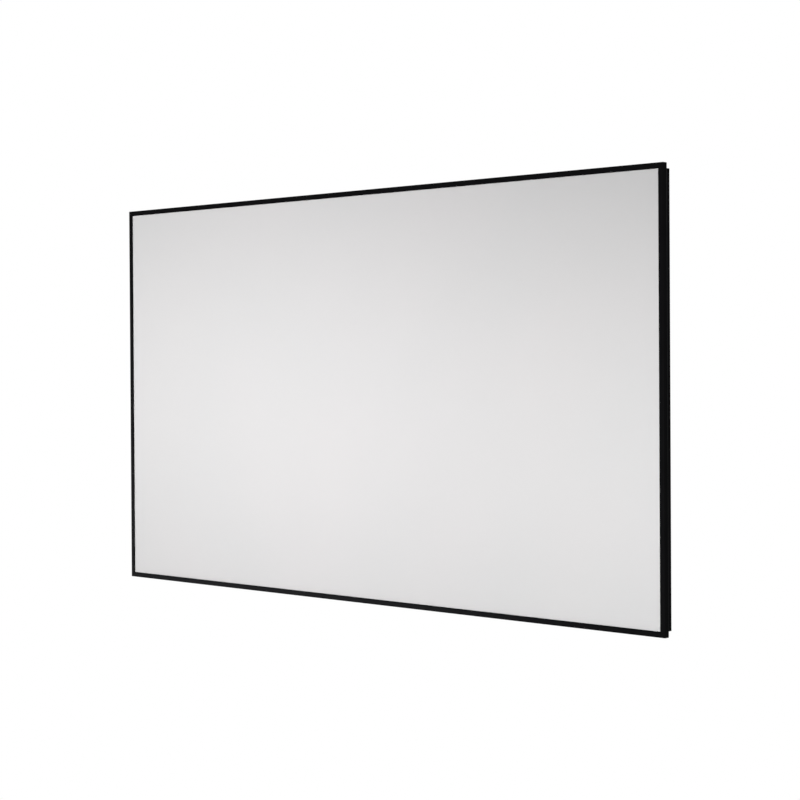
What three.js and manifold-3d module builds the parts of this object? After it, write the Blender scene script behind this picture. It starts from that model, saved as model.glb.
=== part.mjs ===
// Fixed frame projector screen, 100 inch diagonal at 16:9, millimetres, +Z up.
// The picture side faces -Y, the wall side faces +Y and +X runs to the right seen from the front.
import * as THREE from "three";
import { mergeVertices } from "three/addons/utils/BufferGeometryUtils.js";
import Module from "manifold-3d";

const wasm = await Module();
wasm.setup();

// Driving dimensions
const VIEW_WIDTH = 2214;
const VIEW_HEIGHT = 1245;
const TRIM_FACE = 16.2;
const TRIM_BOX_DEPTH = 21;
const TRIM_STEP = 13.2;
const TRIM_DEPTH = 50;
const TRIM_LIP = 3;
const TRIM_WALL = 1.3;
const TRIM_LEG = 1.1;
const SHEET_THICKNESS = 0.5;
const STRIP_THICKNESS = 0.5;
const RAIL_WIDTH = 40;
const RAIL_WALL = 1.6;
const RAIL_OUTER_WALL = 2;
const FLANGE = 4;
const ROD_RADIUS = 2;
const SPRING_RADIUS = 3.5;
const SPRING_PITCH = 139;
const PLATE_THICKNESS = 2.5;
const WALL_GAP = 0.5;

// Clearances between pieces that touch
const FIT = 0.3;
const SNUG = 0.25;
const MITRE_SHIFT = 0.22;

// How far a cutting tool runs past the wall that it cuts, and how deep joined parts overlap
const PAST = 1;

// The section of the frame: u runs inward from the outer edge and v runs back from the front face
const OUTER_WIDTH = VIEW_WIDTH + 2 * TRIM_FACE;
const OUTER_HEIGHT = VIEW_HEIGHT + 2 * TRIM_FACE;
const LEG_IN = TRIM_STEP + TRIM_LEG;
const SHEET_EDGE = LEG_IN + SNUG;
const STRIP_OUT = LEG_IN + SNUG;
const STRIP_MID = STRIP_OUT + STRIP_THICKNESS / 2;
const RAIL_OUT = STRIP_OUT + STRIP_THICKNESS + SNUG;
const RAIL_IN = RAIL_OUT + RAIL_WIDTH;
const FLANGE_TIP = RAIL_IN + FLANGE;
const CHANNEL_OUT = RAIL_OUT + RAIL_OUTER_WALL;
const CHANNEL_IN = RAIL_IN - RAIL_WALL;
const SHEET_FRONT = TRIM_LIP + FIT;
const SHEET_BACK = SHEET_FRONT + SHEET_THICKNESS;
const STRIP_FRONT = SHEET_BACK + FIT;
const NOSE = STRIP_FRONT + STRIP_THICKNESS + FIT;
const NOSE_HEIGHT = 3.3;
const WEB_FRONT = NOSE + NOSE_HEIGHT;
const WEB_BACK = WEB_FRONT + RAIL_WALL;
const FLOOR_FRONT = 28;
const FLOOR_BACK = FLOOR_FRONT + RAIL_WALL;
const HOOK_WALL = 2;
const HOOK_FRONT = TRIM_DEPTH - HOOK_WALL;
const STRIP_BACK = HOOK_FRONT - FIT;
const RAIL_BACK = STRIP_BACK - STRIP_THICKNESS - FIT;
const BRACKET_FRONT = TRIM_DEPTH + WALL_GAP;
const DEPTH = BRACKET_FRONT + PLATE_THICKNESS;

// Round pieces are drawn as prisms with these numbers of sides
const HOLE_SIDES = 8;
const HEAD_SIDES = 12;
const ROD_SIDES = 8;
const SPRING_SIDES = 6;

const PAINT = {
  black_aluminium: { color: 0x121214, roughness: 0.42, metalness: 0.85 },
  zinc_steel: { color: 0x8e9296, roughness: 0.35, metalness: 1 },
  white_screen: { color: 0xe4e2e2, roughness: 0.85, metalness: 0 },
  black_pvc: { color: 0x1b1b1d, roughness: 0.6, metalness: 0 },
  black_plastic: { color: 0x1e1f21, roughness: 0.5, metalness: 0 },
  spring_steel: { color: 0xa2a5a8, roughness: 0.3, metalness: 1 },
};

const screen = new THREE.Group();
screen.name = "fixed_frame_projector_screen";

function add(name, geometry, paint) {
  const material = new THREE.MeshStandardMaterial(PAINT[paint]);
  material.name = paint;
  const mesh = new THREE.Mesh(geometry, material);
  mesh.name = name;
  screen.add(mesh);
  return mesh;
}

// A corner of the frame and the direction that each side runs in from it
const SIDES = {
  bottom: {
    length: OUTER_WIDTH,
    origin: [OUTER_WIDTH / 2, -OUTER_HEIGHT / 2],
    inward: [0, 1],
    along: [-1, 0],
  },
  top: {
    length: OUTER_WIDTH,
    origin: [-OUTER_WIDTH / 2, OUTER_HEIGHT / 2],
    inward: [0, -1],
    along: [1, 0],
  },
  left: {
    length: OUTER_HEIGHT,
    origin: [-OUTER_WIDTH / 2, -OUTER_HEIGHT / 2],
    inward: [1, 0],
    along: [0, 1],
  },
  right: {
    length: OUTER_HEIGHT,
    origin: [OUTER_WIDTH / 2, OUTER_HEIGHT / 2],
    inward: [-1, 0],
    along: [0, -1],
  },
};

// Turns (u, v, distance along the side) into the object's frame, whose origin is its box centre
function sideMatrix(side) {
  const { origin, inward, along } = SIDES[side];
  const matrix = new THREE.Matrix4();
  matrix.makeBasis(
    new THREE.Vector3(inward[0], 0, inward[1]),
    new THREE.Vector3(0, 1, 0),
    new THREE.Vector3(along[0], 0, along[1]),
  );
  matrix.setPosition(origin[0], -DEPTH / 2, origin[1]);
  return matrix;
}

function outline(points, holes = []) {
  const shape = new THREE.Shape(points.map(([u, v]) => new THREE.Vector2(u, v)));
  for (const hole of holes) {
    shape.holes.push(new THREE.Path(hole.map(([u, v]) => new THREE.Vector2(u, v))));
  }
  return shape;
}

function boxPoints(u0, v0, u1, v1) {
  return [
    [u0, v0],
    [u1, v0],
    [u1, v1],
    [u0, v1],
  ];
}

// A bar with a constant section; a mitred end slopes at 45 degrees across u
function bar(side, shape, from, to, { mitreFrom = false, mitreTo = false } = {}) {
  const length = to - from;
  const geometry = new THREE.ExtrudeGeometry(shape, { depth: length, bevelEnabled: false });
  const position = geometry.attributes.position;
  for (let i = 0; i < position.count; i += 1) {
    const u = position.getX(i);
    const atStart = position.getZ(i) < length / 2;
    let z = atStart ? from : to;
    if (atStart && mitreFrom) {
      z = from + u + MITRE_SHIFT;
    }
    if (!atStart && mitreTo) {
      z = to - u - MITRE_SHIFT;
    }
    position.setZ(i, z);
  }
  geometry.applyMatrix4(sideMatrix(side));
  return geometry;
}

function toSolid(geometry) {
  const bare = geometry.clone();
  bare.deleteAttribute("normal");
  bare.deleteAttribute("uv");
  const merged = mergeVertices(bare, 1e-3);
  return new wasm.Manifold(
    new wasm.Mesh({
      numProp: 3,
      vertProperties: new Float32Array(merged.attributes.position.array),
      triVerts: new Uint32Array(merged.index.array),
    }),
  );
}

function toGeometry(solid) {
  const mesh = solid.getMesh();
  const indexed = new THREE.BufferGeometry();
  indexed.setAttribute("position", new THREE.BufferAttribute(mesh.vertProperties, 3));
  indexed.setIndex(new THREE.BufferAttribute(mesh.triVerts, 1));
  const geometry = indexed.toNonIndexed();
  geometry.computeVertexNormals();
  return geometry;
}

function joined(geometries) {
  let solid = toSolid(geometries[0]);
  for (const geometry of geometries.slice(1)) {
    solid = solid.add(toSolid(geometry));
  }
  return toGeometry(solid);
}

function cut(geometry, tools) {
  let solid = toSolid(geometry);
  for (const tool of tools) {
    solid = solid.subtract(toSolid(tool));
  }
  return toGeometry(solid);
}

// A box in a side's own coordinates
function block(side, u0, u1, v0, v1, z0, z1) {
  return bar(side, outline(boxPoints(u0, v0, u1, v1)), z0, z1);
}

// A round pin in a side's own coordinates, with its axis along v
function pinAlongV(side, u, z, radius, v0, v1, sides = HOLE_SIDES) {
  const geometry = new THREE.CylinderGeometry(radius, radius, v1 - v0, sides);
  geometry.translate(u, (v0 + v1) / 2, z);
  geometry.applyMatrix4(sideMatrix(side));
  return geometry;
}

// A round pin in a side's own coordinates, with its axis along u
function pinAlongU(side, v, z, radius, u0, u1, sides = HOLE_SIDES) {
  const geometry = new THREE.CylinderGeometry(radius, radius, u1 - u0, sides);
  geometry.rotateZ(-Math.PI / 2);
  geometry.translate((u0 + u1) / 2, v, z);
  geometry.applyMatrix4(sideMatrix(side));
  return geometry;
}

// The top and the bottom come in two halves; the sides are one piece each
const SEAM = FIT / 2;
const LENGTHS = [];
for (const side of ["top", "bottom"]) {
  const { length } = SIDES[side];
  const first = side === "top" ? "left" : "right";
  const second = side === "top" ? "right" : "left";
  LENGTHS.push({
    name: `${side}_${first}`,
    side,
    from: 0,
    to: length / 2 - SEAM,
    ends: { mitreFrom: true },
  });
  LENGTHS.push({
    name: `${side}_${second}`,
    side,
    from: length / 2 + SEAM,
    to: length,
    ends: { mitreTo: true },
  });
}
for (const side of ["left", "right"]) {
  const { length } = SIDES[side];
  LENGTHS.push({ name: side, side, from: 0, to: length, ends: { mitreFrom: true, mitreTo: true } });
}

// Corner brackets, splice plates and brace shoes decide where the rails are drilled
const BRACKET_SHIFT = 1.7;
const BRACKET_MID = (CHANNEL_OUT + CHANNEL_IN) / 2 + BRACKET_SHIFT;
const BRACKET_HALF = 10;
const BRACKET_ARM = 116;
const CORNER_SCREWS = [68, 98];
const SPLICE_HALF = 70;
const SPLICE_SCREWS = [25, 55];
const SCREW_SHANK = 2.5;
const SCREW_HOLE = 2.9;
const SCREW_HEAD = 4.75;
const SCREW_HEAD_HEIGHT = 2.6;
const SHOE_HALF = 35;
const SHOE_SCREW = 25;
const SHOE_SCREW_SHANK = 2;
const SHOE_SCREW_HOLE = 2.4;
const SHOE_SCREW_HEAD = 4;
const BRACE_FRONT = 11;
const BRACE_DEPTH = 15;
const BRACE_HALF = 15;
const BRACE_WALL = 1.5;
const BRACE_MID = BRACE_FRONT + BRACE_DEPTH / 2;

// Rails: a closed box at the front, a nose for the sheet and an open channel for the springs at the back
const LIP_SIZE = 3.9;
const LIP_WALL = 1.4;
const LIP_ROOF = 1.5;
const LIP_OUT = CHANNEL_IN - LIP_SIZE;
const LIP_TIP = RAIL_BACK - LIP_SIZE;
const LIP_POCKET = RAIL_BACK - LIP_ROOF;
const NOSE_WIDTH = 4;
const NOSE_IN = RAIL_OUT + NOSE_WIDTH;
const NOSE_ROUND = 1.1;
const NOSE_CUT = 0.35 * NOSE_ROUND;
const NOSE_CHAMFER = 0.6;
const FLANGE_FRONT = RAIL_BACK - RAIL_WALL;
const RAIL_SHAPE = outline(
  [
    [RAIL_OUT, NOSE + NOSE_ROUND],
    [RAIL_OUT + NOSE_CUT, NOSE + NOSE_CUT],
    [RAIL_OUT + NOSE_ROUND, NOSE],
    [NOSE_IN - NOSE_CHAMFER, NOSE],
    [NOSE_IN, NOSE + NOSE_CHAMFER],
    [NOSE_IN, WEB_FRONT],
    [RAIL_IN, WEB_FRONT],
    [RAIL_IN, FLANGE_FRONT],
    [FLANGE_TIP, FLANGE_FRONT],
    [FLANGE_TIP, RAIL_BACK],
    [LIP_OUT, RAIL_BACK],
    [LIP_OUT, LIP_TIP],
    [LIP_OUT + LIP_WALL, LIP_TIP],
    [LIP_OUT + LIP_WALL, LIP_POCKET],
    [CHANNEL_IN, LIP_POCKET],
    [CHANNEL_IN, FLOOR_BACK],
    [CHANNEL_OUT, FLOOR_BACK],
    [CHANNEL_OUT, RAIL_BACK],
    [RAIL_OUT, RAIL_BACK],
  ],
  [boxPoints(CHANNEL_OUT, WEB_BACK, CHANNEL_IN, FLOOR_FRONT)],
);

function railHoles({ side, from, to, ends }) {
  const { length } = SIDES[side];
  const holes = [];
  const floorHole = (z) =>
    pinAlongV(side, BRACKET_MID, z, SCREW_HOLE, FLOOR_FRONT - PAST, FLOOR_BACK + PAST);
  for (const distance of CORNER_SCREWS) {
    if (ends.mitreFrom) {
      holes.push(floorHole(distance));
    }
    if (ends.mitreTo) {
      holes.push(floorHole(length - distance));
    }
  }
  if (side === "top" || side === "bottom") {
    const half = from === 0 ? -1 : 1;
    for (const distance of SPLICE_SCREWS) {
      holes.push(floorHole(length / 2 + half * distance));
    }
    holes.push(
      pinAlongU(
        side,
        BRACE_MID,
        length / 2 + half * SHOE_SCREW,
        SHOE_SCREW_HOLE,
        CHANNEL_IN - PAST,
        RAIL_IN + PAST,
      ),
    );
  }
  return holes;
}

for (const piece of LENGTHS) {
  const blank = bar(piece.side, RAIL_SHAPE, piece.from, piece.to, piece.ends);
  add(`rail_${piece.name}`, cut(blank, railHoles(piece)), "black_aluminium");
}

// Bezel trims: a hollow box in front and a thin leg down the outside of the rail, hooked over its back
const HOOK_REACH = 3.9;
const HOOK_IN = RAIL_OUT + HOOK_REACH;
const HOOK_CHAMFER = 0.5;
const FACE_CHAMFER = 0.3;
const TRIM_EDGE = 0.8;
const EDGE_CUT = 0.3 * TRIM_EDGE;
const TRIM_ROUND = 5;
const ROUND_MID = 0.5 * TRIM_ROUND;
const ROUND_CUT = 0.13 * TRIM_ROUND;
const TRIM_BACK = 1.5;
const TRIM_SHAPE = outline(
  [
    [0, TRIM_EDGE],
    [EDGE_CUT, EDGE_CUT],
    [TRIM_EDGE, 0],
    [TRIM_FACE - FACE_CHAMFER, 0],
    [TRIM_FACE, FACE_CHAMFER],
    [TRIM_FACE, TRIM_LIP],
    [LEG_IN, TRIM_LIP],
    [LEG_IN, HOOK_FRONT],
    [HOOK_IN, HOOK_FRONT],
    [HOOK_IN, TRIM_DEPTH - HOOK_CHAMFER],
    [HOOK_IN - HOOK_CHAMFER, TRIM_DEPTH],
    [TRIM_STEP + HOOK_CHAMFER, TRIM_DEPTH],
    [TRIM_STEP, TRIM_DEPTH - HOOK_CHAMFER],
    [TRIM_STEP, TRIM_BOX_DEPTH],
    [TRIM_ROUND, TRIM_BOX_DEPTH],
    [ROUND_MID, TRIM_BOX_DEPTH - ROUND_CUT],
    [ROUND_CUT, TRIM_BOX_DEPTH - ROUND_MID],
    [0, TRIM_BOX_DEPTH - TRIM_ROUND],
  ],
  [
    [
      [TRIM_WALL, TRIM_BACK],
      [LEG_IN - TRIM_WALL, TRIM_BACK],
      [LEG_IN - TRIM_WALL, TRIM_BOX_DEPTH - TRIM_BACK],
      [TRIM_ROUND, TRIM_BOX_DEPTH - TRIM_BACK],
      [TRIM_WALL, TRIM_BOX_DEPTH - TRIM_ROUND],
    ],
  ],
);
for (const piece of LENGTHS) {
  add(
    `bezel_${piece.name}`,
    bar(piece.side, TRIM_SHAPE, piece.from, piece.to, piece.ends),
    "black_aluminium",
  );
}

// Keys slide into the hollow trims across the mitres and across the middle seams
const KEY_SLACK = 0.7;
const KEY_SETBACK = 7;
const KEY_OUT = TRIM_WALL + KEY_SLACK;
const KEY_IN = LEG_IN - TRIM_WALL - KEY_SLACK;
const KEY_FRONT = TRIM_BACK + KEY_SETBACK;
const KEY_BACK = KEY_FRONT + PLATE_THICKNESS;
const KEY_ARM = 62;
const KEY_HALF = 60;

// An L plate that lies in a corner of the frame, between v0 and v1
function cornerPlate(side, u0, u1, reach, v0, v1) {
  const alongSide = block(side, u0, u1, v0, v1, u0, reach);
  const acrossSide = block(side, u0, reach, v0, v1, u0, u1);
  return joined([alongSide, acrossSide]);
}

const CORNERS = { top_left: "top", bottom_right: "bottom", bottom_left: "left", top_right: "right" };
for (const [corner, side] of Object.entries(CORNERS)) {
  const plate = cornerPlate(side, KEY_OUT, KEY_IN, KEY_ARM, KEY_FRONT, KEY_BACK);
  add(`bezel_key_${corner}`, plate, "black_plastic");
}
for (const side of ["top", "bottom"]) {
  const middle = SIDES[side].length / 2;
  const plate = block(
    side,
    KEY_OUT,
    KEY_IN,
    KEY_FRONT,
    KEY_BACK,
    middle - KEY_HALF,
    middle + KEY_HALF,
  );
  add(`bezel_splice_key_${side}`, plate, "black_plastic");
}

// Projection sheet, flat behind the bezel lip
const sheet = new THREE.BoxGeometry(
  OUTER_WIDTH - 2 * SHEET_EDGE,
  SHEET_THICKNESS,
  OUTER_HEIGHT - 2 * SHEET_EDGE,
);
sheet.translate(0, SHEET_FRONT + SHEET_THICKNESS / 2 - DEPTH / 2, 0);
add("projection_sheet", sheet, "white_screen");

// Tension rods with their springs; the rod lies in the loop at the strip's end
const ROD_INSET = 7.4;
const ROD_U = RAIL_OUT + ROD_INSET;
const ROD_V = 40;
const ROD_END = 42;
const SPRING_END = 80;
const SPRING_LEAD = 5.5;
const SPRING_LENGTH = 17;
const SPRING_BODY = [ROD_U + SPRING_LEAD, ROD_U + SPRING_LEAD + SPRING_LENGTH];
const SPRING_WIRE = 0.7;
const SPRING_HOOK_GAP = 1.2;
const SPRING_HOOK_U = LIP_OUT + LIP_WALL + SPRING_HOOK_GAP;

function springPlaces(side) {
  const { length } = SIDES[side];
  const gaps = Math.round((length - 2 * SPRING_END) / SPRING_PITCH);
  const step = (length - 2 * SPRING_END) / gaps;
  return Array.from({ length: gaps + 1 }, (_, i) => SPRING_END + i * step);
}

function springParts(side, z) {
  const wireV = [ROD_V - SPRING_WIRE, ROD_V + SPRING_WIRE];
  const wireZ = [z - SPRING_WIRE, z + SPRING_WIRE];
  return [
    block(side, ROD_U, SPRING_HOOK_U + SPRING_WIRE, ...wireV, ...wireZ),
    pinAlongU(side, ROD_V, z, SPRING_RADIUS, ...SPRING_BODY, SPRING_SIDES),
    block(
      side,
      SPRING_HOOK_U - SPRING_WIRE,
      SPRING_HOOK_U + SPRING_WIRE,
      ROD_V - SPRING_WIRE,
      LIP_POCKET - 2 * FIT,
      ...wireZ,
    ),
  ];
}

for (const side of Object.keys(SIDES)) {
  const { length } = SIDES[side];
  const rodShape = outline(
    Array.from({ length: ROD_SIDES }, (_, i) => {
      const turn = ((i + 0.5) * 2 * Math.PI) / ROD_SIDES;
      return [ROD_U + ROD_RADIUS * Math.cos(turn), ROD_V + ROD_RADIUS * Math.sin(turn)];
    }),
  );
  const parts = [bar(side, rodShape, ROD_END, length - ROD_END)];
  for (const z of springPlaces(side)) {
    parts.push(...springParts(side, z));
  }
  add(`tension_rod_${side}`, joined(parts), "spring_steel");
}

// Edge strips: welded behind the sheet, wrapped round the rail and looped round the rod
const WELD_WIDTH = 24.6;
const STRIP_WELD = SHEET_EDGE + WELD_WIDTH;
const STRIP_END = 40;
const LOOP_SLACK = 0.55;
const LOOP_RADIUS = ROD_RADIUS + STRIP_THICKNESS / 2 + LOOP_SLACK;
const LOOP_LEAD = 0.5;
const LOOP_POINTS = 7;
const LOOP_START = 48;
const LOOP_STEP = -46;
const FRONT_BEND = 1.1;
const FRONT_BEND_CUT = 0.3;
const BACK_BEND = 0.3;
const NOTCH_HALF = 6;
const NOTCH_MARGIN = 1;
const NOTCH_BACK_MARGIN = 0.8;

function ribbonPath() {
  const frontV = STRIP_FRONT + STRIP_THICKNESS / 2;
  const backV = STRIP_BACK - STRIP_THICKNESS / 2;
  const path = [
    [STRIP_WELD, frontV],
    [STRIP_MID + FRONT_BEND, frontV],
    [STRIP_MID + FRONT_BEND_CUT, frontV + FRONT_BEND_CUT],
    [STRIP_MID, frontV + FRONT_BEND],
    [STRIP_MID, backV - BACK_BEND],
    [STRIP_MID + BACK_BEND, backV],
    [CHANNEL_OUT + LOOP_LEAD, backV],
  ];
  for (let i = 0; i < LOOP_POINTS; i += 1) {
    const turn = THREE.MathUtils.degToRad(LOOP_START + i * LOOP_STEP);
    path.push([ROD_U + LOOP_RADIUS * Math.cos(turn), ROD_V + LOOP_RADIUS * Math.sin(turn)]);
  }
  return path;
}

// Gives a path its thickness, with mitred bends
function ribbon(path, thickness) {
  const normals = path.slice(1).map(([u, v], i) => {
    const du = u - path[i][0];
    const dv = v - path[i][1];
    const long = Math.hypot(du, dv);
    return [-dv / long, du / long];
  });
  const edge = (half) =>
    path.map(([u, v], i) => {
      const before = normals[Math.max(i - 1, 0)];
      const after = normals[Math.min(i, normals.length - 1)];
      const sum = [before[0] + after[0], before[1] + after[1]];
      const scale = (2 * half) / (sum[0] ** 2 + sum[1] ** 2);
      return [u + sum[0] * scale, v + sum[1] * scale];
    });
  return [...edge(thickness / 2), ...edge(-thickness / 2).reverse()];
}

const STRIP_SHAPE = outline(ribbon(ribbonPath(), STRIP_THICKNESS));
for (const side of Object.keys(SIDES)) {
  const { length } = SIDES[side];
  const blank = bar(side, STRIP_SHAPE, STRIP_END, length - STRIP_END);
  const notches = springPlaces(side).map((z) =>
    block(
      side,
      ROD_U - LOOP_RADIUS - NOTCH_MARGIN,
      ROD_U + LOOP_RADIUS + NOTCH_MARGIN,
      ROD_V - LOOP_RADIUS - NOTCH_MARGIN,
      ROD_V + LOOP_RADIUS + NOTCH_BACK_MARGIN,
      z - NOTCH_HALF,
      z + NOTCH_HALF,
    ),
  );
  add(`edge_strip_${side}`, cut(blank, notches), "black_pvc");
}

// Corner brackets on the channel floor, two screws in each arm
const PLATE_FRONT = FLOOR_BACK + FIT;
const PLATE_BACK = PLATE_FRONT + PLATE_THICKNESS;
const HEAD_FRONT = PLATE_BACK + FIT;
const SHANK_PROUD = 1.5;

function plateScrew(side, u, z) {
  const tip = FLOOR_FRONT - SHANK_PROUD;
  const top = HEAD_FRONT + SCREW_HEAD_HEIGHT;
  const shank = pinAlongV(side, u, z, SCREW_SHANK, tip, HEAD_FRONT + PAST);
  const head = pinAlongV(side, u, z, SCREW_HEAD, HEAD_FRONT, top, HEAD_SIDES);
  return [shank, head];
}

for (const [corner, side] of Object.entries(CORNERS)) {
  const plate = cornerPlate(
    side,
    BRACKET_MID - BRACKET_HALF,
    BRACKET_MID + BRACKET_HALF,
    BRACKET_ARM,
    PLATE_FRONT,
    PLATE_BACK,
  );
  const places = CORNER_SCREWS.flatMap((distance) => [
    [BRACKET_MID, distance],
    [distance, BRACKET_MID],
  ]);
  const holes = places.map(([u, z]) =>
    pinAlongV(side, u, z, SCREW_HOLE, PLATE_FRONT - PAST, PLATE_BACK + PAST),
  );
  add(`corner_bracket_${corner}`, cut(plate, holes), "zinc_steel");
  places.forEach(([u, z], i) => {
    add(`corner_screw_${corner}_${i + 1}`, joined(plateScrew(side, u, z)), "zinc_steel");
  });
}

// Splice plates across the middle seams, each with its four screws
for (const side of ["top", "bottom"]) {
  const middle = SIDES[side].length / 2;
  const parts = [
    block(
      side,
      BRACKET_MID - BRACKET_HALF,
      BRACKET_MID + BRACKET_HALF,
      PLATE_FRONT,
      PLATE_BACK,
      middle - SPLICE_HALF,
      middle + SPLICE_HALF,
    ),
  ];
  for (const distance of SPLICE_SCREWS.flatMap((d) => [-d, d])) {
    const z = middle + distance;
    const tip = FLOOR_FRONT - SHANK_PROUD;
    const top = PLATE_BACK + SCREW_HEAD_HEIGHT;
    parts.push(
      pinAlongV(side, BRACKET_MID, z, SCREW_SHANK, tip, PLATE_BACK),
      pinAlongV(side, BRACKET_MID, z, SCREW_HEAD, PLATE_BACK, top, HEAD_SIDES),
    );
  }
  add(`splice_plate_${side}`, joined(parts), "zinc_steel");
}

// Centre brace: a rectangular tube between two shoes that are screwed to the rails
const SHOE_BASE = 2;
const SHOE_START = RAIL_IN + FIT;
const BRACE_START = SHOE_START + SHOE_BASE + FIT;
const SHOE_PLUG = 30;
const SHOE_SHANK_PROUD = 3;
const SHOE_SCREW_HEAD_HEIGHT = 2.4;
const MIDDLE = OUTER_WIDTH / 2;
const bracePlan = (margin) =>
  outline([
    [-BRACE_HALF + margin, BRACE_FRONT + margin],
    [BRACE_HALF - margin, BRACE_FRONT + margin],
    [BRACE_HALF - margin, BRACE_FRONT + BRACE_DEPTH - margin],
    [-BRACE_HALF + margin, BRACE_FRONT + BRACE_DEPTH - margin],
  ]);
const braceShape = bracePlan(0);
braceShape.holes.push(bracePlan(BRACE_WALL));
const braceLength = OUTER_HEIGHT - 2 * BRACE_START;
const brace = new THREE.ExtrudeGeometry(braceShape, { depth: braceLength, bevelEnabled: false });
brace.translate(0, -DEPTH / 2, -braceLength / 2);
add("centre_brace", brace, "black_aluminium");
for (const side of ["top", "bottom"]) {
  const margin = BRACE_WALL + FIT;
  const plate = joined([
    block(
      side,
      SHOE_START,
      SHOE_START + SHOE_BASE,
      BRACE_FRONT,
      BRACE_FRONT + BRACE_DEPTH,
      MIDDLE - SHOE_HALF,
      MIDDLE + SHOE_HALF,
    ),
    block(
      side,
      SHOE_START,
      SHOE_START + SHOE_BASE + SHOE_PLUG,
      BRACE_FRONT + margin,
      BRACE_FRONT + BRACE_DEPTH - margin,
      MIDDLE - BRACE_HALF + margin,
      MIDDLE + BRACE_HALF - margin,
    ),
  ]);
  const places = [MIDDLE - SHOE_SCREW, MIDDLE + SHOE_SCREW];
  const holes = places.map((z) =>
    pinAlongU(side, BRACE_MID, z, SHOE_SCREW_HOLE, SHOE_START - PAST, SHOE_START + SHOE_BASE + PAST),
  );
  add(`brace_shoe_${side}`, cut(plate, holes), "black_plastic");
  places.forEach((z, i) => {
    const seat = BRACE_START;
    const top = seat + SHOE_SCREW_HEAD_HEIGHT;
    const screw = joined([
      pinAlongU(side, BRACE_MID, z, SHOE_SCREW_SHANK, CHANNEL_IN - SHOE_SHANK_PROUD, seat + PAST),
      pinAlongU(side, BRACE_MID, z, SHOE_SCREW_HEAD, seat, top, HEAD_SIDES),
    ]);
    add(`shoe_screw_${side}_${i + 1}`, screw, "zinc_steel");
  });
}

// Wall brackets: a plate on the wall whose lip takes the rail's hanging flange
const BRACKET_OFFSET = 600;
const BRACKET_WIDTH = 60;
const GROOVE_FLOOR = FLANGE_TIP + FIT;
const GROOVE_WALL = 2;
const LIP_BACK = FLANGE_FRONT - FIT;
const BRACKET_REACH = 98;
const WALL_SCREW_HOLE = 3;
const WALL_SCREW_OFFSET = 18;
const BRACKET_SHAPE = outline([
  [RAIL_IN + FIT, LIP_BACK - GROOVE_WALL],
  [GROOVE_FLOOR + GROOVE_WALL, LIP_BACK - GROOVE_WALL],
  [GROOVE_FLOOR + GROOVE_WALL, BRACKET_FRONT],
  [BRACKET_REACH, BRACKET_FRONT],
  [BRACKET_REACH, DEPTH],
  [GROOVE_FLOOR, DEPTH],
  [GROOVE_FLOOR, LIP_BACK],
  [RAIL_IN + FIT, LIP_BACK],
]);
for (const side of ["top", "bottom"]) {
  for (const [hand, sign] of [
    ["left", -1],
    ["right", 1],
  ]) {
    const direction = SIDES[side].along[0] * sign;
    const middle = SIDES[side].length / 2 + direction * BRACKET_OFFSET;
    const blank = bar(
      side,
      BRACKET_SHAPE,
      middle - BRACKET_WIDTH / 2,
      middle + BRACKET_WIDTH / 2,
    );
    const holes = [-WALL_SCREW_OFFSET, WALL_SCREW_OFFSET].map((offset) =>
      pinAlongV(
        side,
        (GROOVE_FLOOR + GROOVE_WALL + BRACKET_REACH) / 2,
        middle + offset,
        WALL_SCREW_HOLE,
        BRACKET_FRONT - PAST,
        DEPTH + PAST,
      ),
    );
    add(`wall_bracket_${side}_${hand}`, cut(blank, holes), "zinc_steel");
  }
}

export default screen;
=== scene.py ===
"""Looks of a fixed frame projector screen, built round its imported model. Metres, +Z up, wall side +Y."""

import math

import bpy
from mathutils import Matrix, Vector


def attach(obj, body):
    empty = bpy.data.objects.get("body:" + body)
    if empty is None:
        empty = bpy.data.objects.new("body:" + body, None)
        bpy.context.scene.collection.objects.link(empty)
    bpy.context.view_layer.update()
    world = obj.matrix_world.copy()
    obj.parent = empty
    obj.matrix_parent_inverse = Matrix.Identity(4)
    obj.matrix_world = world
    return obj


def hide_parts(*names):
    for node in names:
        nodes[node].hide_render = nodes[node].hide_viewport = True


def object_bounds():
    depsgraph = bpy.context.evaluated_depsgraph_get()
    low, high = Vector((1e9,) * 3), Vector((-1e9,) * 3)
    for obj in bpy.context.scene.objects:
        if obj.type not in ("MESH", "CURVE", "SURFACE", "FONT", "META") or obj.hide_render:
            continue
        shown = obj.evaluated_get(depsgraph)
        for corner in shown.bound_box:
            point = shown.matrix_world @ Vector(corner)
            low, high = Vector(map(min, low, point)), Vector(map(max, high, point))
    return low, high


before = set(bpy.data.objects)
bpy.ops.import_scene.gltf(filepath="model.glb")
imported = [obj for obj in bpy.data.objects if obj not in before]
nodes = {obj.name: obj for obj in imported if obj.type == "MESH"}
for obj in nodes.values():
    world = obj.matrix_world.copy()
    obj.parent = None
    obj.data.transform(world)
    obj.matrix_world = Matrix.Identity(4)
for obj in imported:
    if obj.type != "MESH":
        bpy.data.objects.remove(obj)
cad_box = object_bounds()

# Rails: four sides of a hollow aluminium extrusion with an open channel at the back. They carry
# everything else. The top and bottom come in two halves, so that the box fits through a door.
# Sawn to 45 degrees and anodised black before assembly.
MM = 0.001


def linear(hex_colour):
    channels = [int(hex_colour[i : i + 2], 16) / 255 for i in (0, 2, 4)]
    return tuple(c / 12.92 if c <= 0.04045 else ((c + 0.055) / 1.055) ** 2.4 for c in channels) + (1.0,)


def add(material, kind, settings=None, **links):
    """Adds a node; settings set its properties or sockets, and links join its sockets to others."""
    made = material.node_tree.nodes.new(kind)
    for key, value in (settings or {}).items():
        if key in made.inputs:
            made.inputs[key].default_value = value
        else:
            setattr(made, key, value)
    for key, source in links.items():
        socket = made.inputs[int(key[1:])] if key[0] == "i" and key[1:].isdigit() else made.inputs[key]
        material.node_tree.links.new(source, socket)
    return made


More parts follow.
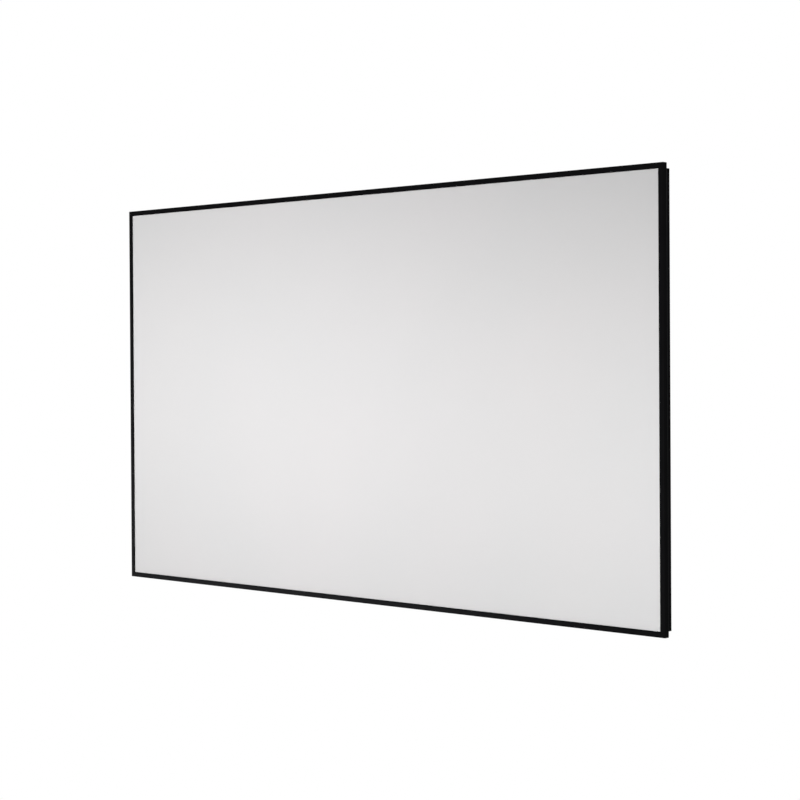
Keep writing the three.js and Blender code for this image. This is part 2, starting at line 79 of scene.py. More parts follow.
def new_material(name):
    material = bpy.data.materials.new(name)
    material.use_nodes = True
    material.node_tree.nodes.clear()
    return material


def output(material, shader):
    add(material, "ShaderNodeOutputMaterial", Surface=shader.outputs["BSDF"])


def black_anodised(name, stretch, light, dark):
    """Aluminium, drawn through a die and anodised black: satin, with faint lines along its length."""
    m = new_material(name)
    place = add(m, "ShaderNodeTexCoord").outputs["Object"]
    lines_at = add(m, "ShaderNodeMapping", {"Scale": stretch}, Vector=place)
    # Die lines are about 0.2 mm apart; drawn at 1.5 mm so that they show
    lines = add(m, "ShaderNodeTexNoise", {"Scale": 660.0, "Detail": 3.0}, Vector=lines_at.outputs["Vector"])
    # The anodised layer takes the dye a little unevenly, over about 60 mm
    cloud = add(m, "ShaderNodeTexNoise", {"Scale": 16.0, "Detail": 2.0}, Vector=place)
    colour = add(m, "ShaderNodeValToRGB", Fac=cloud.outputs["Fac"])
    colour.color_ramp.elements[0].position = 0.3
    colour.color_ramp.elements[0].color = linear(dark)
    colour.color_ramp.elements[1].position = 0.75
    colour.color_ramp.elements[1].color = linear(light)
    rough = add(m, "ShaderNodeMapRange", {"To Min": 0.36, "To Max": 0.5}, Value=lines.outputs["Fac"])
    bump = add(m, "ShaderNodeBump", {"Strength": 0.15, "Distance": 0.00005}, Height=lines.outputs["Fac"])
    shader = add(
        m,
        "ShaderNodeBsdfPrincipled",
        {"Metallic": 1.0, "Specular Tint": (0.5, 0.5, 0.5, 1.0)},
        **{"Base Color": colour.outputs["Color"]},
        Roughness=rough.outputs["Result"],
        Normal=bump.outputs["Normal"],
    )
    output(m, shader)
    return m


ALONG_X, ALONG_Z = (0.01, 1.0, 1.0), (1.0, 1.0, 0.01)
RAIL_ACROSS = black_anodised("black_anodised_aluminium_rail_across", ALONG_X, "3d3d40", "323235")
RAIL_UP = black_anodised("black_anodised_aluminium_rail_up", ALONG_Z, "3d3d40", "323235")


def break_edges(made, edge_mm):
    """Takes the sharpness off a piece's edges, as tumbling or a die's corners do."""
    edges = made.modifiers.new("edges", "BEVEL")
    edges.width = edge_mm * MM
    edges.segments = 2
    edges.limit_method = "ANGLE"
    edges.angle_limit = math.radians(40)


def dress(name, material, edge_mm):
    """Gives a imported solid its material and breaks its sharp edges."""
    solid = nodes[name]
    solid.data.materials.clear()
    solid.data.materials.append(material)
    weld = solid.modifiers.new("weld", "WELD")
    weld.merge_threshold = 0.01 * MM
    break_edges(solid, edge_mm)


BARS = {
    "top_left": RAIL_ACROSS,
    "top_right": RAIL_ACROSS,
    "bottom_left": RAIL_ACROSS,
    "bottom_right": RAIL_ACROSS,
    "left": RAIL_UP,
    "right": RAIL_UP,
}
RAIL_EDGE = 0.25
for bar, finish in BARS.items():
    dress(f"rail_{bar}", finish, RAIL_EDGE)

# Corner brackets: L plates of zinc plated steel on the channel floor, each with four M5 button
# head screws that pull the mitres together. Laser cut, tumbled, then plated.
FRAME_WIDTH = (cad_box[1][0] - cad_box[0][0]) / MM
FRAME_HEIGHT = (cad_box[1][2] - cad_box[0][2]) / MM
FRONT_Y = cad_box[0][1]
# Each side's length, the corner it starts at, its way inward and its way along, as X and Z signs
SIDES = {
    "bottom": (FRAME_WIDTH, (1, -1), (0, 1), (-1, 0)),
    "top": (FRAME_WIDTH, (-1, 1), (0, -1), (1, 0)),
    "left": (FRAME_HEIGHT, (-1, -1), (1, 0), (0, 1)),
    "right": (FRAME_HEIGHT, (1, 1), (-1, 0), (0, -1)),
}
# Each corner, with the side that starts at it
CORNERS = {"top_left": "top", "bottom_right": "bottom", "bottom_left": "left", "top_right": "right"}
# The rail's outer wall, in millimetres in from the frame's outer edge
RAIL_OUT = 15.3


def at(side, u, v, along):
    """A point from its distance inward, back from the front face and along a side, in millimetres."""
    corner, inward, run = SIDES[side][1:]
    x = corner[0] * FRAME_WIDTH / 2 + inward[0] * u + run[0] * along
    z = corner[1] * FRAME_HEIGHT / 2 + inward[1] * u + run[1] * along
    return Vector((x * MM, FRONT_Y + v * MM, z * MM))


def plated_steel(name, light, dark, roughness):
    """Steel with a bright plated layer: pale grey, clouded, with a soft shine."""
    m = new_material(name)
    place = add(m, "ShaderNodeTexCoord").outputs["Object"]
    # The plating clouds over about 12 mm, and tumbling leaves marks of about 1 mm
    cloud = add(m, "ShaderNodeTexNoise", {"Scale": 80.0, "Detail": 4.0}, Vector=place)
    marks = add(m, "ShaderNodeTexNoise", {"Scale": 900.0, "Detail": 2.0}, Vector=place)
    colour = add(m, "ShaderNodeValToRGB", Fac=cloud.outputs["Fac"])
    colour.color_ramp.elements[0].position = 0.35
    colour.color_ramp.elements[0].color = linear(dark)
    colour.color_ramp.elements[1].position = 0.65
    colour.color_ramp.elements[1].color = linear(light)
    rough = add(
        m,
        "ShaderNodeMapRange",
        {"To Min": roughness - 0.06, "To Max": roughness + 0.1},
        Value=cloud.outputs["Fac"],
    )
    bump = add(m, "ShaderNodeBump", {"Strength": 0.2, "Distance": 0.00005}, Height=marks.outputs["Fac"])
    shader = add(
        m,
        "ShaderNodeBsdfPrincipled",
        {"Metallic": 1.0},
        **{"Base Color": colour.outputs["Color"]},
        Roughness=rough.outputs["Result"],
        Normal=bump.outputs["Normal"],
    )
    output(m, shader)
    return m


ZINC = plated_steel("zinc_plated_steel", "c2c5c8", "a9adb1", 0.34)
SCREW_ZINC = plated_steel("zinc_plated_screw_steel", "a6a9ad", "8e9296", 0.3)
PLATE_EDGE = 0.4
for corner in CORNERS:
    dress(f"corner_bracket_{corner}", ZINC, PLATE_EDGE)


def piece(name, verts, faces, material, replaced=()):
    """A mesh in the frame's own place that rides on the one body."""
    mesh = bpy.data.meshes.new(name)
    mesh.from_pydata([tuple(v) for v in verts], [], faces)
    mesh.materials.append(material)
    mesh.validate()
    made = bpy.data.objects.new(name, mesh)
    bpy.context.scene.collection.objects.link(made)
    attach(made, "root")
    if replaced:
        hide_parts(*replaced)
    return made


def ring_skin(rings, verts, faces):
    """Joins rings of equal size into a closed skin with capped ends."""
    start = len(verts)
    size = len(rings[0])
    for ring in rings:
        verts.extend(ring)
    for r in range(len(rings) - 1):
        for i in range(size):
            a = start + r * size + i
            b = start + r * size + (i + 1) % size
            faces.append((a, b, b + size, a + size))
    faces.append(tuple(start + i for i in reversed(range(size))))
    faces.append(tuple(start + (len(rings) - 1) * size + i for i in range(size)))


def hexagon(flats, angle):
    """The distance from the centre of a hexagon to its outline."""
    turn = (math.degrees(angle) + 30) % 60 - 30
    return flats / 2 / math.cos(math.radians(turn))


SCREW_SIDES = 36
# A button head: its bearing face and top flat in shares of its radius and socket, its rim of its height
HEAD_BEARING, HEAD_FLAT, HEAD_RIM = 0.97, 0.72, 0.12
DOME = [math.radians(angle) for angle in (75, 60, 45, 30)]
# The shank's tip, in shares of its radius: how thin it ends and how long its taper is
TIP_THIN, TIP_TAPER = 0.8, 0.3
# The socket: a broken edge, walls down to a floor, and a drilled point under it
MOUTH_WIDE, MOUTH_DEEP, SOCKET_FLOOR, POINT_FLOOR, POINT_R = 1.04, 0.15, 0.35, 0.25, 0.25


def button_screw(seat, axis, head_r, head_h, shank_r, shank_long, flats, verts, faces):
    """A button head screw with a hexagon socket; seat is under its head, and axis points out of it."""
    axis = axis.normalized()
    side_a = axis.orthogonal().normalized()
    side_b = axis.cross(side_a)
    flat_r = flats * HEAD_FLAT
    taper_at = -shank_long + shank_r * TIP_TAPER
    profile = [(shank_r * TIP_THIN, -shank_long), (shank_r, taper_at), (shank_r, 0)]
    profile += [(head_r * HEAD_BEARING, 0), (head_r, head_h * HEAD_RIM)]
    for angle in DOME:
        radius = flat_r + (head_r - flat_r) * math.sin(angle)
        profile.append((radius, head_h * (HEAD_RIM + (1 - HEAD_RIM) * math.cos(angle))))
    profile += [(flat_r, head_h)]
    turns = [2 * math.pi * i / SCREW_SIDES for i in range(SCREW_SIDES)]
    rings = [[(radius, height)] * SCREW_SIDES for radius, height in profile]
    socket = [(flats * MOUTH_WIDE, head_h), (flats, head_h - MOUTH_DEEP), (flats, head_h * SOCKET_FLOOR)]
    for across, height in socket:
        rings.append([(hexagon(across, turn), height) for turn in turns])
    rings.append([(POINT_R, head_h * POINT_FLOOR)] * SCREW_SIDES)
    placed = []
    for ring in rings:
        row = []
        for turn, (radius, height) in zip(turns, ring):
            out = side_a * math.cos(turn) + side_b * math.sin(turn)
            row.append(seat + (out * radius + axis * height) * MM)
        placed.append(row)
    ring_skin(placed, verts, faces)


BRACKET_MID = RAIL_OUT + 21.9
SCREW_PLACES = (68.0, 98.0)
PLATE_BACK = 32.4
HEAD_SEAT = PLATE_BACK + 0.3
# Head radius and height, shank radius and length, and socket across its flats
M5_SCREW = (4.75, 2.6, 2.5, 6.0, 3.0)
BACKWARD = Vector((0, 1, 0))
for corner, side in CORNERS.items():
    verts, faces = [], []
    for far in SCREW_PLACES:
        for u, along in ((BRACKET_MID, far), (far, BRACKET_MID)):
            seat = at(side, u, HEAD_SEAT, along)
            button_screw(seat, BACKWARD, *M5_SCREW, verts, faces)
    replaced = [f"corner_screw_{corner}_{i}" for i in (1, 2, 3, 4)]
    piece(f"corner_screws_{corner}", verts, faces, SCREW_ZINC, replaced)

# Splice plates: a straight plate across each middle seam, with the same four screws.
# Same steel and the same plating as the corner brackets.
SPLICE_HALF, SPLICE_WIDE, PLATE_FRONT, PLATE_CORNER = 70.0, 10.0, 29.9, 3.0
SPLICE_SCREWS = (-55.0, -25.0, 25.0, 55.0)
SPLICE_EDGE = 0.3
# Degrees round each of the plate's corners, and where each corner's arc starts
PLATE_ARC = range(0, 91, 15)
PLATE_CORNERS = ((1, 1, 0), (-1, 1, 90), (-1, -1, 180), (1, -1, 270))
for side in ("top", "bottom"):
    middle = FRAME_WIDTH / 2
    outline = []
    for across, along, first in PLATE_CORNERS:
        arc_u = BRACKET_MID + across * (SPLICE_WIDE - PLATE_CORNER)
        arc_z = middle + along * (SPLICE_HALF - PLATE_CORNER)
        for step in PLATE_ARC:
            turn = math.radians(first + step)
            outline.append((arc_u + PLATE_CORNER * math.cos(turn), arc_z + PLATE_CORNER * math.sin(turn)))
    verts, faces = [], []
    rings = [[at(side, u, v, z) for u, z in outline] for v in (PLATE_FRONT, PLATE_BACK)]
    ring_skin(rings, verts, faces)
    plate = piece(f"splice_{side}", verts, faces, ZINC, [f"splice_plate_{side}"])
    break_edges(plate, SPLICE_EDGE)
    verts, faces = [], []
    for offset in SPLICE_SCREWS:
        seat = at(side, BRACKET_MID, PLATE_BACK, middle + offset)
        button_screw(seat, BACKWARD, *M5_SCREW, verts, faces)
    piece(f"splice_screws_{side}", verts, faces, SCREW_ZINC)

# Centre brace: a thin aluminium tube that keeps the long rails from bowing in, between two
# moulded nylon shoes. Each shoe has two small screws into the rail.
def moulded_nylon(name):
    """Glass filled nylon, moulded black: dull, with a fine spark eroded grain."""
    m = new_material(name)
    place = add(m, "ShaderNodeTexCoord").outputs["Object"]
    # The grain is about 0.1 mm; drawn at 0.8 mm
    grain = add(m, "ShaderNodeTexNoise", {"Scale": 1250.0, "Detail": 3.0}, Vector=place)
    flow = add(m, "ShaderNodeTexNoise", {"Scale": 60.0}, Vector=place)
    colour = add(m, "ShaderNodeValToRGB", Fac=flow.outputs["Fac"])
    colour.color_ramp.elements[0].color = linear("17181a")
    colour.color_ramp.elements[1].color = linear("222326")
    rough = add(m, "ShaderNodeMapRange", {"To Min": 0.45, "To Max": 0.62}, Value=grain.outputs["Fac"])
    bump = add(m, "ShaderNodeBump", {"Strength": 0.3, "Distance": 0.0001}, Height=grain.outputs["Fac"])
    shader = add(
        m,
        "ShaderNodeBsdfPrincipled",
        {"IOR": 1.53},
        **{"Base Color": colour.outputs["Color"]},
        Roughness=rough.outputs["Result"],
        Normal=bump.outputs["Normal"],
    )
    output(m, shader)
    return m


NYLON = moulded_nylon("moulded_black_nylon")
BRACE_EDGE, NYLON_EDGE = 0.4, 0.4
dress("centre_brace", RAIL_UP, BRACE_EDGE)
SHOE_SEAT, SHOE_SCREW, BRACE_MID_V = RAIL_OUT + 42.6, 25.0, 18.5
M4_SCREW = (4.0, 2.4, 2.0, 7.0, 2.5)
for side in ("top", "bottom"):
    dress(f"brace_shoe_{side}", NYLON, NYLON_EDGE)
    inward = SIDES[side][2]
    verts, faces = [], []
    for offset in (-SHOE_SCREW, SHOE_SCREW):
        seat = at(side, SHOE_SEAT, BRACE_MID_V, FRAME_WIDTH / 2 + offset)
        axis = Vector((inward[0], 0, inward[1]))
        button_screw(seat, axis, *M4_SCREW, verts, faces)
    replaced = [f"shoe_screw_{side}_{i}" for i in (1, 2)]
    piece(f"shoe_screws_{side}", verts, faces, SCREW_ZINC, replaced)

# Projection sheet: matt white PVC film on a black backing, pulled flat over the noses of the
# rails. Its edge turns back over the nose, under the bezel's lip.
SHEET_EDGE, SHEET_FRONT, SHEET_THICK = RAIL_OUT - 0.75, 3.3, 0.5


def matt_white_pvc(name):
    """Calendered PVC with a matt emboss: even, chalky and faintly warm, with no shine."""
    m = new_material(name)
    place = add(m, "ShaderNodeTexCoord").outputs["Object"]
    # The emboss is about 0.3 mm; drawn at 2.5 mm, and very low
    emboss = add(m, "ShaderNodeTexNoise", {"Scale": 400.0, "Detail": 2.0}, Vector=place)
    tone = add(m, "ShaderNodeTexNoise", {"Scale": 2.2, "Detail": 1.0}, Vector=place)
    colour = add(m, "ShaderNodeValToRGB", Fac=tone.outputs["Fac"])
    colour.color_ramp.elements[0].position = 0.3
    colour.color_ramp.elements[0].color = linear("e9e9e9")
    colour.color_ramp.elements[1].position = 0.7
    colour.color_ramp.elements[1].color = linear("ebeaea")
    rough = add(m, "ShaderNodeMapRange", {"To Min": 0.82, "To Max": 0.95}, Value=emboss.outputs["Fac"])
    bump = add(m, "ShaderNodeBump", {"Strength": 0.1, "Distance": 0.00004}, Height=emboss.outputs["Fac"])
    shader = add(
        m,
        "ShaderNodeBsdfPrincipled",
        {"IOR": 1.5, "Specular IOR Level": 0.25},
        **{"Base Color": colour.outputs["Color"]},
        Roughness=rough.outputs["Result"],
        Normal=bump.outputs["Normal"],
    )
    output(m, shader)
    return m


def black_pvc(name, light, dark):
    """PVC over a woven scrim, coated black: low sheen, with the scrim's threads showing through."""
    m = new_material(name)
    place = add(m, "ShaderNodeTexCoord").outputs["Object"]
    # Scrim threads are about 1 mm apart; drawn at 2 mm
    warp = add(
        m,
        "ShaderNodeTexWave",
        {"bands_direction": "X", "Scale": 157.0, "Distortion": 0.3},
        Vector=place,
    )
    weft = add(
        m,
        "ShaderNodeTexWave",
        {"bands_direction": "Z", "Scale": 157.0, "Distortion": 0.3},
        Vector=place,
    )
    crossing = {"i0": warp.outputs["Fac"], "i1": weft.outputs["Fac"]}
    threads = add(m, "ShaderNodeMath", {"operation": "MULTIPLY"}, **crossing)
    colour = add(m, "ShaderNodeValToRGB", Fac=threads.outputs["Value"])
    colour.color_ramp.elements[0].color = linear(dark)
    colour.color_ramp.elements[1].color = linear(light)
    rough = add(m, "ShaderNodeMapRange", {"To Min": 0.5, "To Max": 0.68}, Value=threads.outputs["Value"])
    bump = add(m, "ShaderNodeBump", {"Strength": 0.35, "Distance": 0.0001}, Height=threads.outputs["Value"])
    shader = add(
        m,
        "ShaderNodeBsdfPrincipled",
        {"IOR": 1.53, "Specular IOR Level": 0.4},
        **{"Base Color": colour.outputs["Color"]},
        Roughness=rough.outputs["Result"],
        Normal=bump.outputs["Normal"],
    )
    output(m, shader)
    return m


WHITE_PVC = matt_white_pvc("calendered_matt_white_pvc")
BLACK_BACKING = black_pvc("black_coated_pvc_backing", "212124", "17171a")
BLACK_STRIP = black_pvc("black_coated_pvc_strip", "29292c", "1c1c1f")


# How far in from the sheet's edge its closest lines of points run, and how many spaces lie between
EDGE_LINES = (0.0, 0.35, 0.85, 1.6, 4.0, 25.0)
COLUMN_SPACES, ROW_SPACES = 24, 14
# The turned edge: how wide it is, and how far back it goes
TURN_WIDE, TURN_BACK = 1.6, 0.4


def sheet_lines(length, spaces):
    """Places across the sheet from its middle, close together at the turned edges."""
    ends = [length / 2 - SHEET_EDGE - line for line in EDGE_LINES]
    inner = [ends[-1] - 2 * ends[-1] * i / spaces for i in range(1, spaces)]
    return [-e for e in ends] + inner[::-1] + ends[::-1]


def edge_turn(place, half):
    """How far the sheet has turned back at this place, for this half width or height."""
    near = max(0.0, TURN_WIDE - (half - abs(place)))
    return TURN_BACK * (near / TURN_WIDE) ** 2


def smooth(made, corners=None):
    """Shades a piece's faces smooth: all of them, or only those with this number of corners."""
    for polygon in made.data.polygons:
        polygon.use_smooth = corners in (None, len(polygon.vertices))


def thicken(skin, thickness_mm, offset):
    """Gives a skin the thickness of its film, behind it (-1) or to both sides (0)."""
    film = skin.modifiers.new("film", "SOLIDIFY")
    film.thickness = thickness_mm * MM
    film.offset = offset
    return film


columns = sheet_lines(FRAME_WIDTH, COLUMN_SPACES)
rows = sheet_lines(FRAME_HEIGHT, ROW_SPACES)
verts, faces = [], []
for z in rows:
    for x in columns:
        back = edge_turn(x, FRAME_WIDTH / 2 - SHEET_EDGE)
        back = max(back, edge_turn(z, FRAME_HEIGHT / 2 - SHEET_EDGE))
        verts.append(Vector((x * MM, FRONT_Y + (SHEET_FRONT + back) * MM, z * MM)))
wide = len(columns)
for r in range(len(rows) - 1):
    for c in range(wide - 1):
        a = r * wide + c
        faces.append((a, a + 1, a + 1 + wide, a + wide))
sheet = piece("screen_sheet", verts, faces, WHITE_PVC, ["projection_sheet"])
sheet.data.materials.append(BLACK_BACKING)
smooth(sheet)
film = thicken(sheet, SHEET_THICK, -1)
film.material_offset = 1
film.material_offset_rim = 1

# Edge strips: black PVC welded behind the sheet's edge. Each wraps the rail's outside, turns in
# over its back and ends in a loop round a tension rod, with a notch where a spring takes the rod.
STRIP_THICK, STRIP_WELD, STRIP_MID, STRIP_END = 0.5, SHEET_EDGE + 24.6, RAIL_OUT - 0.5, 40.0
STRIP_FRONT, STRIP_BACK, STRIP_BEND = 4.35, 47.45, 0.9
# The strip's bends over the rail's front and back edges, in five steps of 18 degrees each
BEND_TURNS = [math.radians(angle) for angle in range(0, 91, 18)]
# Where the weld to the sheet ends, and where points lie on the rail's outside
WELD_END, OUTSIDE_POINTS = 10.4, (18.0, 33.0)
# From the rail's back edge the strip slopes in to the rod: how far in, and how far forward
SLOPE = ((2.6, 0.0), (3.4, 0.35), (6.4, 2.95))
ROD_U, ROD_V, ROD_R = RAIL_OUT + 7.4, 40.0, 2.0
# The loop round the rod starts at 48 degrees and goes most of the way round
LOOP_R, LOOP_TURNS = 2.6, [math.radians(48 - 23 * step) for step in range(13)]
# Half a notch's length, and how far beside it the next points lie
NOTCH_HALF, NOTCH_BESIDE = 6.0, 8.0
SPRING_FIRST, SPRING_PITCH = 80.0, 139.0


def spring_places(side):
    """How far along a side its springs stand, at even spaces close to the pitch."""
    span = SIDES[side][0] - 2 * SPRING_FIRST
    gaps = round(span / SPRING_PITCH)
    return [SPRING_FIRST + span * i / gaps for i in range(gaps + 1)]


def strip_path():
    """The strip's middle line from its weld to the end of its loop, and where the loop part starts."""
    path = [(STRIP_WELD, STRIP_FRONT), (STRIP_MID + WELD_END, STRIP_FRONT)]
    for turn in BEND_TURNS:
        bend_u = STRIP_MID + STRIP_BEND * (1 - math.sin(turn))
        path.append((bend_u, STRIP_FRONT + STRIP_BEND * (1 - math.cos(turn))))
    path += [(STRIP_MID, v) for v in OUTSIDE_POINTS]
    for turn in BEND_TURNS:
        bend_u = STRIP_MID + STRIP_BEND * (1 - math.cos(turn))
        path.append((bend_u, STRIP_BACK - STRIP_BEND * (1 - math.sin(turn))))
    path += [(STRIP_MID + inward, STRIP_BACK - forward) for inward, forward in SLOPE]
    loop_from = len(path) - 1
    for turn in LOOP_TURNS:
        path.append((ROD_U + LOOP_R * math.cos(turn), ROD_V + LOOP_R * math.sin(turn)))
    return path, loop_from


path, loop_from = strip_path()
for side in SIDES:
    length = SIDES[side][0]
    marks = {STRIP_END, length - STRIP_END}
    open_spans = []
    for place in spring_places(side):
        notch_from, notch_to = place - NOTCH_HALF, place + NOTCH_HALF
        marks |= {notch_from, notch_to, notch_from - NOTCH_BESIDE, notch_to + NOTCH_BESIDE}
        open_spans.append((notch_from, notch_to))
    marks |= {place + SPRING_PITCH / 2 for place in spring_places(side)[:-1]}
    stations = sorted(marks)
    verts, faces = [], []
    for along in stations:
        verts += [at(side, u, v, along) for u, v in path]
    across = len(path)
    for s in range(len(stations) - 1):
        middle = (stations[s] + stations[s + 1]) / 2
        notched = any(a < middle < b for a, b in open_spans)
        for j in range(across - 1):
            if notched and j >= loop_from:
                continue
            a = s * across + j
            faces.append((a, a + across, a + across + 1, a + 1))
    strip = piece(f"strip_{side}", verts, faces, BLACK_STRIP, [f"edge_strip_{side}"])
    smooth(strip)
    thicken(strip, STRIP_THICK, 0)

# Tension rods: 4 mm drawn steel rod in the strips' loops, cut to length with chamfered ends.
# Springs: wound from 1.2 mm nickel plated wire, hooked on the rod and behind the rail's lip.
ROD_END, ROD_SIDES, ROD_CHAMFER = 42.0, 24, 0.4
SPRING_FROM, SPRING_TO, COIL_R, WIRE_R = ROD_U + 5.5, ROD_U + 22.5, 2.9, 0.6
COIL_PITCH, COIL_STEPS, WIRE_SIDES = 1.3, 12, 6
LIP_HOOK_U, LIP_HOOK_V = RAIL_OUT + 36.65, 44.6
# The hook round the rod: its play, and its turn from just behind the rod to beside the coils
HOOK_PLAY, HOOK_TURNS = 0.1, [math.radians(-50 - 20 * step) for step in range(15)]
# Points from the rod's hook up to the first coil, measured from the coils' start and the rod
COIL_LEAD = ((-1.7, 0.9, 0.0), (-0.6, 2.2, 0.3))
# The wire leaves the last coil inward, straightens, and bends back behind the lip
COIL_EXIT, COIL_EXIT_SHARE, STRAIGHT_FROM = 0.8, 0.6, 2.0
LIP_BEND = ((-2.15, 0.0), (-0.95, 0.15), (-0.25, 0.7), (0.0, 1.6))
NICKEL = plated_steel("nickel_plated_spring_wire", "c9c8c4", "b5b4b0", 0.24)
for side in SIDES:
    length = SIDES[side][0]
    verts, faces = [], []
    rings = []
    for along, radius in (
        (ROD_END, ROD_R - ROD_CHAMFER),
        (ROD_END + ROD_CHAMFER, ROD_R),
        (length - ROD_END - ROD_CHAMFER, ROD_R),
        (length - ROD_END, ROD_R - ROD_CHAMFER),
    ):
        ring = []
        for i in range(ROD_SIDES):
            turn = 2 * math.pi * i / ROD_SIDES
            ring.append(at(side, ROD_U + radius * math.cos(turn), ROD_V + radius * math.sin(turn), along))
        rings.append(ring)
    ring_skin(rings, verts, faces)
    rod = piece(f"rod_{side}", verts, faces, ZINC, [f"tension_rod_{side}"])
    smooth(rod, 4)


def spring_wire():
    """The wire's middle line: a hook round the rod, the coils and a hook for the rail's lip."""
    reach = ROD_R + WIRE_R + HOOK_PLAY
    line = [(ROD_U + reach * math.cos(turn), ROD_V + reach * math.sin(turn), 0.0) for turn in HOOK_TURNS]
    line += [(SPRING_FROM + u, ROD_V + v, w) for u, v, w in COIL_LEAD]
    turns = (SPRING_TO - SPRING_FROM) / COIL_PITCH
    steps = round(turns * COIL_STEPS)
    for step in range(steps + 1):
        turn = 2 * math.pi * turns * step / steps
        line.append(
            (
                SPRING_FROM + (SPRING_TO - SPRING_FROM) * step / steps,
                ROD_V + COIL_R * math.cos(turn),
                COIL_R * math.sin(turn),
            )
        )
    last_u, last_v, last_w = line[-1]
    exit_v, exit_w = ROD_V + COIL_EXIT_SHARE * (last_v - ROD_V), COIL_EXIT_SHARE * last_w
    line += [(last_u + COIL_EXIT, exit_v, exit_w), (SPRING_TO + STRAIGHT_FROM, ROD_V, 0.0)]
    line += [(LIP_HOOK_U + u, ROD_V + v, 0.0) for u, v in LIP_BEND]
    line.append((LIP_HOOK_U, LIP_HOOK_V, 0.0))
    return line


def wire_skin(line, radius, sides, verts, faces):
    """Sweeps a round wire along a line, turning its section as little as the line allows."""
    forward = [(b - a).normalized() for a, b in zip(line, line[1:])]
    forward = [forward[0]] + [(a + b).normalized() for a, b in zip(forward, forward[1:])] + [forward[-1]]
    across = forward[0].orthogonal().normalized()
    turns = [2 * math.pi * i / sides for i in range(sides)]
    rings = []
    for point, ahead in zip(line, forward):
        across = (across - ahead * across.dot(ahead)).normalized()
        up = ahead.cross(across)
        rings.append([point + (across * math.cos(t) + up * math.sin(t)) * radius for t in turns])
    ring_skin(rings, verts, faces)


wire = spring_wire()
for side in SIDES:
    verts, faces = [], []
    for place in spring_places(side):
        line = [at(side, u, v, place + w) for u, v, w in wire]
        wire_skin(line, WIRE_R * MM, WIRE_SIDES, verts, faces)
    springs = piece(f"springs_{side}", verts, faces, NICKEL)
    smooth(springs, 4)

# Bezel trims: a thin extruded aluminium box that snaps over the rail and hides its screws and the
# sheet's edge. Mitred, anodised black, with moulded nylon keys pushed into the hollow ends.
TRIM_EDGE = 0.25
TRIM_ACROSS = black_anodised("black_anodised_aluminium_trim_across", ALONG_X, "111112", "0e0e0f")
TRIM_UP = black_anodised("black_anodised_aluminium_trim_up", ALONG_Z, "111112", "0e0e0f")
for bar in BARS:
    dress(f"bezel_{bar}", TRIM_UP if bar in ("left", "right") else TRIM_ACROSS, TRIM_EDGE)
for corner in CORNERS:
    dress(f"bezel_key_{corner}", NYLON, NYLON_EDGE)
for side in ("top", "bottom"):
    dress(f"bezel_splice_key_{side}", NYLON, NYLON_EDGE)

# Wall brackets: pressed zinc plated steel, screwed to the wall through two holes each. The rail's
# flange stands in the bracket's groove.
for corner in CORNERS:
    dress(f"wall_bracket_{corner}", ZINC, PLATE_EDGE)

# Studio: a pale floor well under the screen, a white surround, and three soft lamps in front of it
# whose fall-off gives the sheet its gentle gradient. A fourth lights the back, and a white card low
# on the left shows in the shine of the lower and left trims.
FLOOR_DROP = 1.5
FLOOR_RADIUS = 3.7
FLOOR_SIDES = 96
# How much of the floor, seen directly, is the white surround's own glow
FLOOR_GLOW = 0.88
# Place in metres from the middle of the front face, tilt in degrees, width and height, power, tint
LAMPS = {
    "lamp_middle": ((-0.138, -1.553, -0.039), 90, (1.0, 1.0), 13.2, "fffdfe"),
    "lamp_left": ((-1.492, -1.661, 0.005), 90, (1.0, 1.0), 14.5, "ffffff"),
    "lamp_right": ((1.36, -1.32, -0.244), 90, (1.0, 1.0), 10.3, "ffffff"),
    "lamp_behind": ((0.0, 2.6, 0.5), -90, (1.6, 1.6), 90.0, "ffffff"),
    "card_low_left": ((-2.85, -2.1, -0.95), 90, (3.3, 1.9), 74.0, "ffffff"),
}
# The surround's light on the object; where it is seen directly, its strength is 1
AMBIENT = 0.16


def seen_directly(owner):
    """One where a surface is seen by the camera, in a reflection or through something."""
    rays = add(owner, "ShaderNodeLightPath")
    kinds = [rays.outputs[f"Is {kind} Ray"] for kind in ("Camera", "Glossy", "Transmission")]
    seen = add(owner, "ShaderNodeMath", {"operation": "MAXIMUM"}, i0=kinds[0], i1=kinds[1])
    seen = add(owner, "ShaderNodeMath", {"operation": "MAXIMUM"}, i0=seen.outputs["Value"], i1=kinds[2])
    return seen.outputs["Value"]


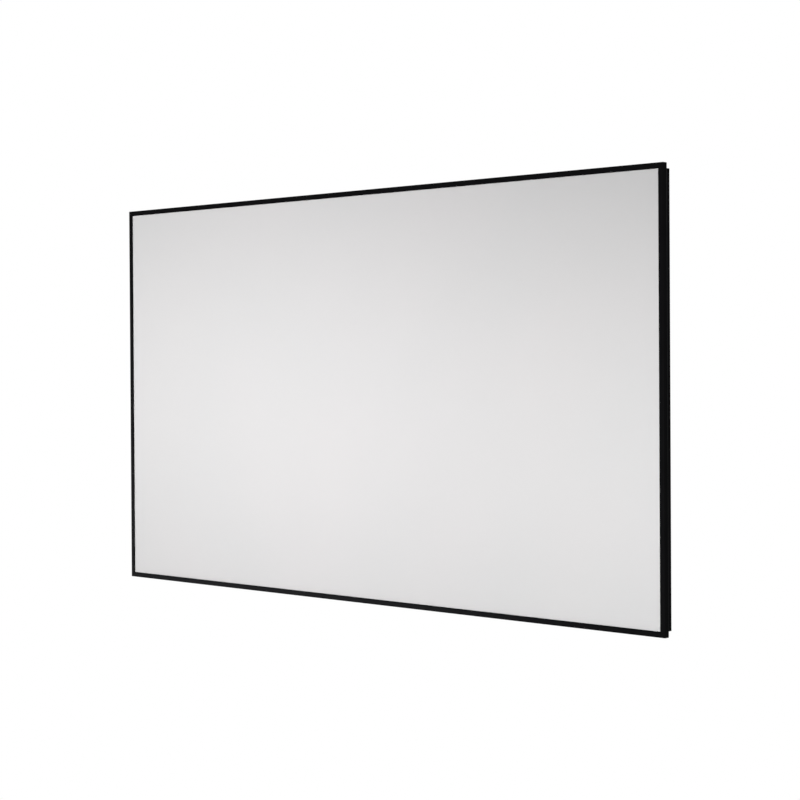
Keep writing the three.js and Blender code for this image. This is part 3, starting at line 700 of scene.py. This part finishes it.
floor_z = cad_box[0][2] - FLOOR_DROP
bpy.ops.mesh.primitive_circle_add(
    vertices=FLOOR_SIDES, radius=FLOOR_RADIUS, fill_type="NGON", location=(0, 0, floor_z)
)
floor = bpy.context.object
floor.name = "studio_floor"
paper = new_material("painted_white_floor")
matt = add(paper, "ShaderNodeBsdfDiffuse", {"Color": linear("f4f4f4")})
glow = add(paper, "ShaderNodeEmission", {"Color": (1, 1, 1, 1), "Strength": 1.0})
share = add(paper, "ShaderNodeMath", {"operation": "MULTIPLY"}, i0=seen_directly(paper))
share.inputs[1].default_value = FLOOR_GLOW
mixed = add(
    paper,
    "ShaderNodeMixShader",
    i0=share.outputs["Value"],
    i1=matt.outputs["BSDF"],
    i2=glow.outputs["Emission"],
)
add(paper, "ShaderNodeOutputMaterial", Surface=mixed.outputs["Shader"])
floor.data.materials.append(paper)

world = bpy.data.worlds.new("studio")
bpy.context.scene.world = world
world.use_nodes = True
world.node_tree.nodes.clear()
level = add(world, "ShaderNodeMapRange", {"To Min": AMBIENT, "To Max": 1.0}, Value=seen_directly(world))
sky = add(world, "ShaderNodeBackground", {"Color": (1, 1, 1, 1)}, Strength=level.outputs["Result"])
add(world, "ShaderNodeOutputWorld", Surface=sky.outputs["Background"])

for name, (place, tilt, size, power, tint) in LAMPS.items():
    lamp_data = bpy.data.lights.new(name, "AREA")
    lamp_data.shape = "RECTANGLE"
    lamp_data.size, lamp_data.size_y = size
    lamp_data.energy = power
    lamp_data.color = linear(tint)[:3]
    lamp = bpy.data.objects.new(name, lamp_data)
    lamp.location = (place[0], FRONT_Y + place[1], place[2])
    lamp.rotation_euler = (math.radians(tilt), 0, 0)
    lamp.visible_camera = False
    # The lamps stay out of the frame's shine, and the card shows nowhere else
    lamp.visible_glossy = name.startswith("card")
    lamp.visible_diffuse = not lamp.visible_glossy
    bpy.context.scene.collection.objects.link(lamp)

# Camera: to the right of the screen, 44 degrees off its middle, at about its own height.
CAMERA_FROM_FRONT = (3.9443, -4.1076, 0.1070)
CAMERA_TURN = (89.4557, 0.3380, 42.6363)
LENS_MM, SENSOR_MM, SHIFT_UP = 82.87, 36.0, -0.0256
camera_data = bpy.data.cameras.new("camera")
camera_data.sensor_width = SENSOR_MM
camera_data.lens = LENS_MM
camera_data.shift_y = SHIFT_UP
camera_data.clip_end = 100.0
camera = bpy.data.objects.new("camera", camera_data)
camera.location = (CAMERA_FROM_FRONT[0], FRONT_Y + CAMERA_FROM_FRONT[1], CAMERA_FROM_FRONT[2])
camera.rotation_euler = [math.radians(a) for a in CAMERA_TURN]
bpy.context.scene.collection.objects.link(camera)
bpy.context.scene.camera = camera
bpy.context.scene.view_settings.view_transform = "Standard"
